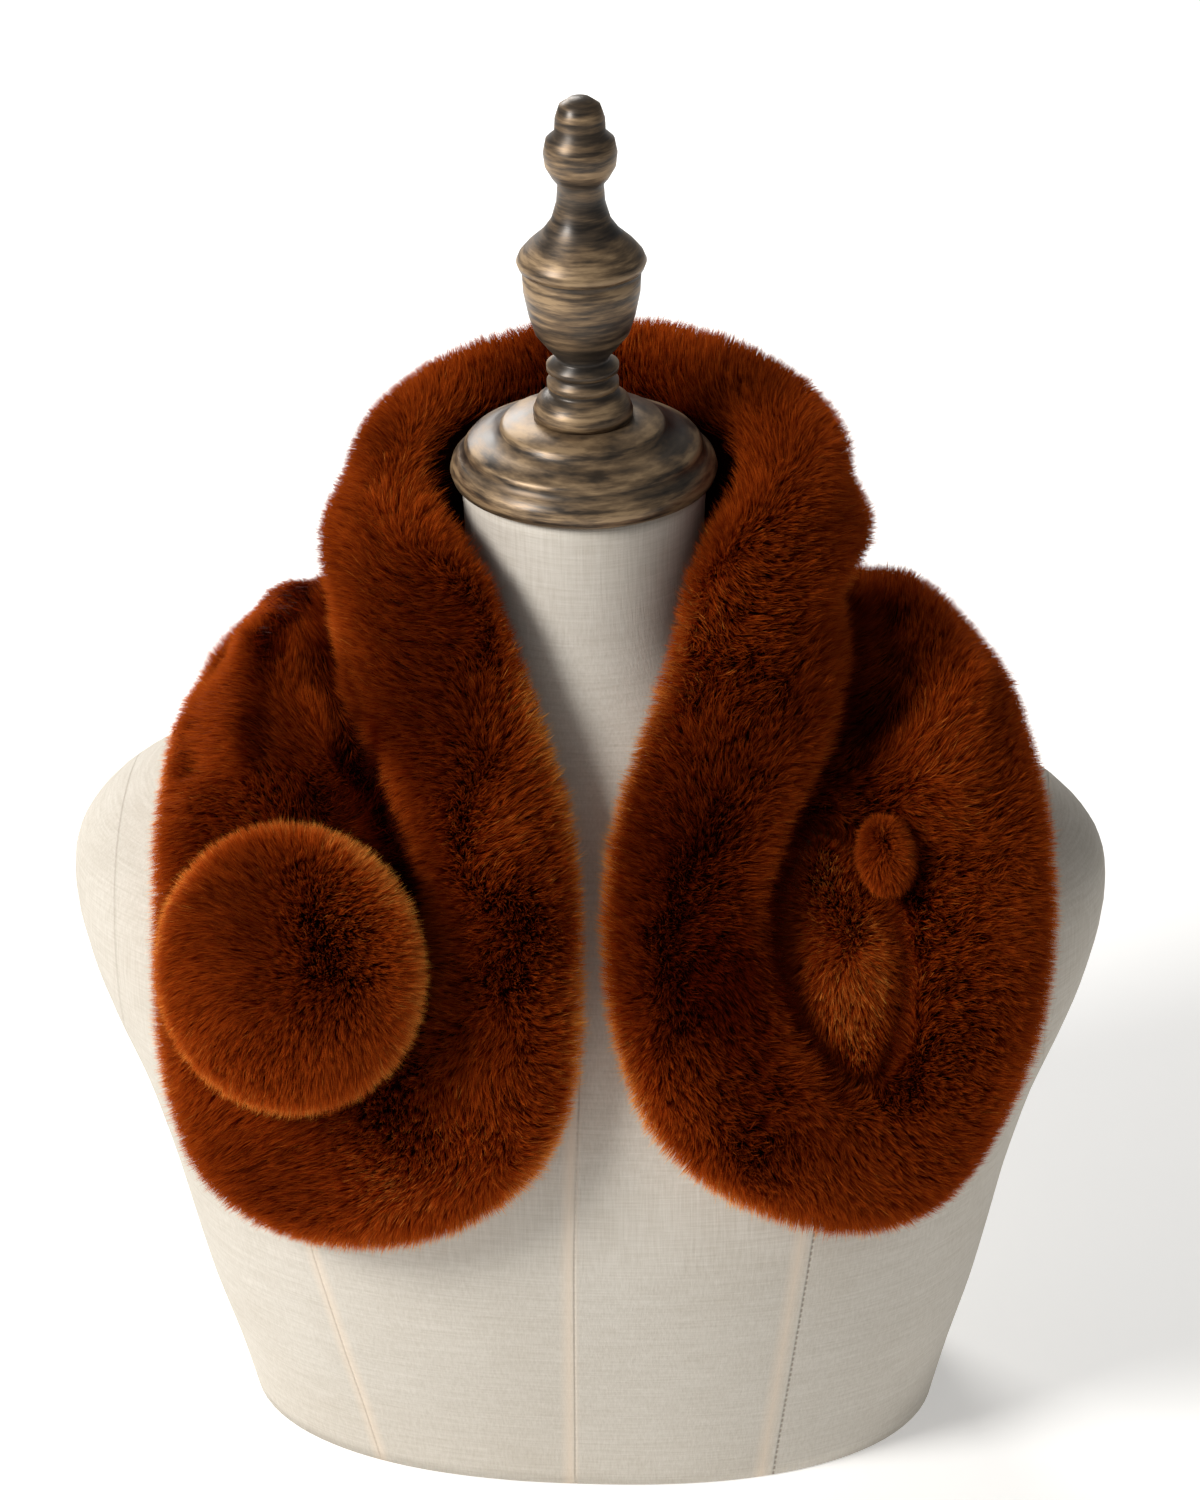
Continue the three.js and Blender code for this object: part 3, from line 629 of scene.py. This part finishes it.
def add_hair(name, pelt, count, pile, width, lean, bent, part_from, tone, glow, mat, replaced):
    """Hair whose tips reach the pelt's surface, leaning down and away from part_from."""
    rng = pelt.rng
    where, facing, nearest = pelt.scatter(count)
    centres = pelt.scatter(max(60, count // 18))[0]
    tuft = nearest_tufts(where, centres)
    comb = np.array([0.0, 0.0, -0.55]) + unit(where - part_from(where))
    comb -= facing * (comb * facing).sum(1, keepdims=True)
    tuft_push = rng.normal(size=centres.shape) * 0.06
    push = pelt.broad.at(where) * 0.26 + pelt.narrow.at(where) * 0.09 + tuft_push[tuft]
    ways = unit(facing + comb * lean + push + rng.normal(size=where.shape) * 0.09)
    tuft_length = rng.uniform(-0.06, 0.04, len(centres))
    reach = 0.16 if bent else 0.06
    length = pile * (1 + tuft_length[tuft] + rng.uniform(-0.15, reach, count))
    length += pelt.rim[nearest] * 1.4 * MM
    gather = centres[tuft] - where
    gather -= facing * (gather * facing).sum(1, keepdims=True)
    far = np.linalg.norm(gather, axis=1, keepdims=True)
    gather *= np.minimum(1.0, 2.2 * MM / np.maximum(far, 1e-9)) * rng.uniform(0.1, 0.5, (count, 1))
    tips = where + gather + ways * (length - pile - pelt.sunk[nearest])[:, None]
    buried = np.minimum(pile, pelt.depths[nearest] * 0.55)
    roots = where - ways * buried[:, None]
    clear = (beside(pelt.form, tips)[0] > 0.8 * MM) & (beside(pelt.form, roots)[0] > 0.4 * MM)
    # Tone: random by tuft and strand, plus painted light at the rims, less the painted shade of the pelt's
    # dark values
    tones = tone + pelt.broad.at(where)[:, 0] * 0.08 + rng.normal(size=len(centres))[tuft] * 0.04
    tones += rng.normal(size=count) * 0.09 + pelt.rim[nearest] * glow - pelt.dark[nearest]
    tones = np.clip(tones + 0.08 * bent, 0.02, 0.98)
    bends = None
    if bent:
        bends = (roots + (tips - roots) * 0.55 - np.array([0.0, 0.0, 0.07 * pile]))[clear]
    widths = width * rng.uniform(0.75, 1.25, count)
    hairs = blades(roots[clear], tips[clear], bends, widths[clear], tones[clear], rng)
    return add_piece(name, hairs, mat, replaced)


def add_skin(name, pelt, mat, replaced):
    """The hide under the hair."""
    skin = pelt.mesh.copy()
    inset = np.minimum(9 * MM, pelt.depths * 0.42)
    moved = pelt.points - pelt.own_normals * inset[:, None]
    skin.vertices.foreach_set("co", moved.ravel())
    skin.update()
    full = bpy.data.objects.new("full", skin)
    scene.collection.objects.link(full)
    full.modifiers.new("fewer", "DECIMATE").ratio = 0.3
    graph = bpy.context.evaluated_depsgraph_get()
    hide = bpy.data.meshes.new_from_object(full.evaluated_get(graph))
    bpy.data.objects.remove(full)
    piece = add_piece(name, hide, mat, replaced)
    return piece


def half_of(mesh, side, own, other):
    """The half of a mesh that lies on the own tree, closed where the centre-back seam cuts it."""
    seam = side * 0.15 * MM
    part = bmesh.new()
    part.from_mesh(mesh)
    behind = [f for f in part.faces if f.calc_center_median().y > 0]
    edges = {e for f in behind for e in f.edges}
    points = {v for f in behind for v in f.verts}
    bmesh.ops.bisect_plane(
        part, geom=[*points, *edges, *behind], plane_co=(seam, 0, 0), plane_no=(side, 0, 0)
    )
    unwanted = []
    for face in part.faces:
        middle = face.calc_center_median()
        if middle.y > 0:
            outside = (middle.x - seam) * side < 0
        else:
            outside = own.find_nearest(middle)[3] > other.find_nearest(middle)[3]
        if outside:
            unwanted.append(face)
    bmesh.ops.delete(part, geom=unwanted, context="FACES")
    bmesh.ops.holes_fill(part, edges=[e for e in part.edges if e.is_boundary])
    half = bpy.data.meshes.new("half")
    part.to_mesh(half)
    part.free()
    return half


def roll_line(points):
    """For each point of the wrap, a point of the line that its pile parts from."""
    line = points.copy()
    line[:, 0] *= 0.72
    line[:, 1] = np.where(points[:, 1] < 0, points[:, 1], points[:, 1] * 0.7)
    line[:, 2] = points[:, 2] - 20 * MM
    return line


def on_seam(points):
    return (np.abs(points[:, 0]) < 0.2 * MM) & (points[:, 1] > 0)


def make_wrap(skin_mat, fur_mat, form):
    surface = remeshed(["wrap_left", "wrap_right"], 3.0 * MM, 12, 1.8 * MM)
    trees = {name: tree_of_nodes(name) for name in ("wrap_left", "wrap_right")}
    neighbours = tree_of_nodes("slit_keeper", "slit_tab", "form_neck_cap")
    shading = tree_of_nodes("wrap_disc", "slit_keeper", "slit_tab")
    sides = ((-1, "wrap_left", "wrap_right"), (1, "wrap_right", "wrap_left"))
    for side, name, other in sides:
        half = half_of(surface, side, trees[name], trees[other])
        pelt = Pelt(4 + side, half, form, neighbours, shading, seamed=True)
        add_skin(name + "_skin", pelt, skin_mat, [name])
        add_hair(
            name + "_underfur", pelt, 178000, 12 * MM, 0.52 * MM, 0.28, False, roll_line, 0.35,
            0.55, fur_mat, [name],
        )
        add_hair(
            name + "_guard_hair", pelt, 59000, 14.5 * MM, 0.38 * MM, 0.33, True, roll_line, 0.35,
            0.72, fur_mat, [name],
        )


def make_small(name, look, seed, neighbours, skin_mat, fur_mat, form):
    surface = remeshed([name], 2.0 * MM, 2, 0.5 * MM)
    around = tree_of_nodes(*neighbours)
    pelt = Pelt(seed, surface, form, around, around)
    middle = pelt.points.mean(0)

    def from_middle(points):
        return np.tile(middle, (len(points), 1))

    add_skin(name + "_skin", pelt, skin_mat, [name])
    add_hair(
        name + "_underfur", pelt, look.underfur, look.pile, 0.5 * MM, look.lean, False, from_middle,
        look.tone, look.glow, fur_mat, [name],
    )
    add_hair(
        name + "_guard_hair", pelt, look.guards, look.pile * 1.15, 0.36 * MM, look.lean * 1.2, True,
        from_middle, look.tone, look.glow, fur_mat, [name],
    )


# The form


def rings_of(name):
    """The rings of a node built in level rings, lowest first, each in order round the axis."""
    points = points_of(joined_mesh([name]))
    points = points[np.hypot(points[:, 0], points[:, 1]) > 1 * MM]
    levels = np.round(points[:, 2] / (0.02 * MM)).astype(int)
    rings = []
    for level in np.unique(levels):
        ring = points[levels == level]
        rings.append(ring[np.argsort(np.arctan2(ring[:, 1], ring[:, 0]))])
    return np.array(rings)


def finer_round(rings, times):
    """More points in each ring, on the smooth closed curve through its own."""
    spectrum = np.fft.rfft(rings, axis=1)
    spectrum[:, -1] *= 0.5
    return np.fft.irfft(spectrum, rings.shape[1] * times, axis=1) * times


def finer_upwards(rings, times):
    """More rings, on the smooth curves through those given."""
    last = len(rings) - 1
    fine = []
    for i in range(last):
        a, b, c, d = (rings[min(max(i + k, 0), last)] for k in (-1, 0, 1, 2))
        for t in np.arange(times) / times:
            bend = (2 * a - 5 * b + 4 * c - d) * t**2 + (3 * b - a - 3 * c + d) * t**3
            fine.append(0.5 * (2 * b + (c - a) * t + bend))
    return np.array([*fine, rings[-1]])


def make_torso(mat):
    rings = finer_upwards(finer_round(rings_of("form_torso"), 3), 2)
    rows, count = rings.shape[:2]
    faces = [
        (r * count + i, r * count + (i + 1) % count, (r + 1) * count + (i + 1) % count, (r + 1) * count + i)
        for r in range(rows - 1)
        for i in range(count)
    ]
    under, over = list(range(count))[::-1], list(range((rows - 1) * count, rows * count))
    mesh = bpy.data.meshes.new("torso_cover")
    mesh.from_pydata(rings.reshape(-1, 3).tolist(), [], [*faces, under, over])
    smooth = [True] * len(faces) + [False, False]
    mesh.polygons.foreach_set("use_smooth", smooth)
    return add_piece("form_torso_cover", mesh, mat, ["form_torso"])


def profile_of(name):
    """The (radius, height) points of a turned node, from its underside to its top."""
    turned = bmesh.new()
    turned.from_mesh(nodes[name].data)
    bmesh.ops.remove_doubles(turned, verts=turned.verts, dist=0.02 * MM)
    near = 0.05 * MM
    on = [v for v in turned.verts if abs(v.co.y) < near and v.co.x > -near]
    on_set = set(on)
    start = min(on, key=lambda v: (v.co.z, v.co.x))
    line, last, here = [start], None, start
    while True:
        onward = [
            e.other_vert(here)
            for e in here.link_edges
            if e.other_vert(here) in on_set and e.other_vert(here) not in line
        ]
        if not onward:
            break
        here = onward[0]
        line.append(here)
    profile = [(max(v.co.x, 0.0), v.co.z) for v in line]
    turned.free()
    return profile


def turned_mesh(profile, segments):
    lathe = bmesh.new()
    rings = []
    for radius, height in profile:
        if radius < 0.01 * MM:
            rings.append([lathe.verts.new((0, 0, height))])
        else:
            rings.append(
                [
                    lathe.verts.new((radius * math.cos(t), radius * math.sin(t), height))
                    for t in np.linspace(0, 2 * math.pi, segments, endpoint=False)
                ]
            )
    for low, high in zip(rings, rings[1:]):
        for i in range(segments):
            corners = [
                low[i % len(low)],
                low[(i + 1) % len(low)],
                high[(i + 1) % len(high)],
                high[i % len(high)],
            ]
            corners = list(dict.fromkeys(corners))
            if len(corners) > 2:
                lathe.faces.new(corners)
    bmesh.ops.recalc_face_normals(lathe, faces=lathe.faces)
    mesh = bpy.data.meshes.new("turned")
    lathe.to_mesh(mesh)
    lathe.free()
    return mesh


def make_turned(name, mat):
    profile = profile_of(name)
    mesh = turned_mesh(profile, 96)
    mesh.polygons.foreach_set("use_smooth", [True] * len(mesh.polygons))
    radii = np.array([radius for radius, _ in profile])
    heights = np.array([height for _, height in profile])
    proud = np.zeros(len(profile))
    proud[1:-1] = radii[1:-1] - (radii[:-2] + radii[2:]) / 2
    rub = np.clip(proud / (0.9 * MM), 0, 1)
    points = points_of(mesh)
    around = np.hypot(points[:, 0], points[:, 1])
    away = np.hypot(around[:, None] - radii, points[:, 2][:, None] - heights)
    edge = mesh.attributes.new("edge", "FLOAT", "POINT")
    edge.data.foreach_set("value", rub[away.argmin(1)])
    piece = add_piece(name + "_turned", mesh, mat, [name])
    return piece


def main():
    add_camera()
    add_lights()
    add_floor()
    linen, bronze = linen_material(), bronze_material()
    skin, fur = skin_material(), fur_material()
    form = tree_of_nodes("form_torso", "form_neck_cap", "form_finial")
    make_torso(linen)
    make_turned("form_neck_cap", bronze)
    make_turned("form_finial", bronze)
    make_wrap(skin, fur, form)
    flaps = ("wrap_left", "wrap_right")
    keeper_sides, tab_sides = flaps + ("slit_tab",), flaps + ("slit_keeper",)
    disc_look = Look(72000, 19000, 11 * MM, 0.22, 0.42, 0.30)
    keeper_look = Look(18000, 5000, 9 * MM, 0.5, 0.66, 0.0)
    tab_look = Look(8000, 2400, 10 * MM, 0.8, 0.42, -0.25)
    make_small("wrap_disc", disc_look, 11, flaps, skin, fur, form)
    make_small("slit_keeper", keeper_look, 12, keeper_sides, skin, fur, form)
    make_small("slit_tab", tab_look, 13, tab_sides, skin, fur, form)


main()
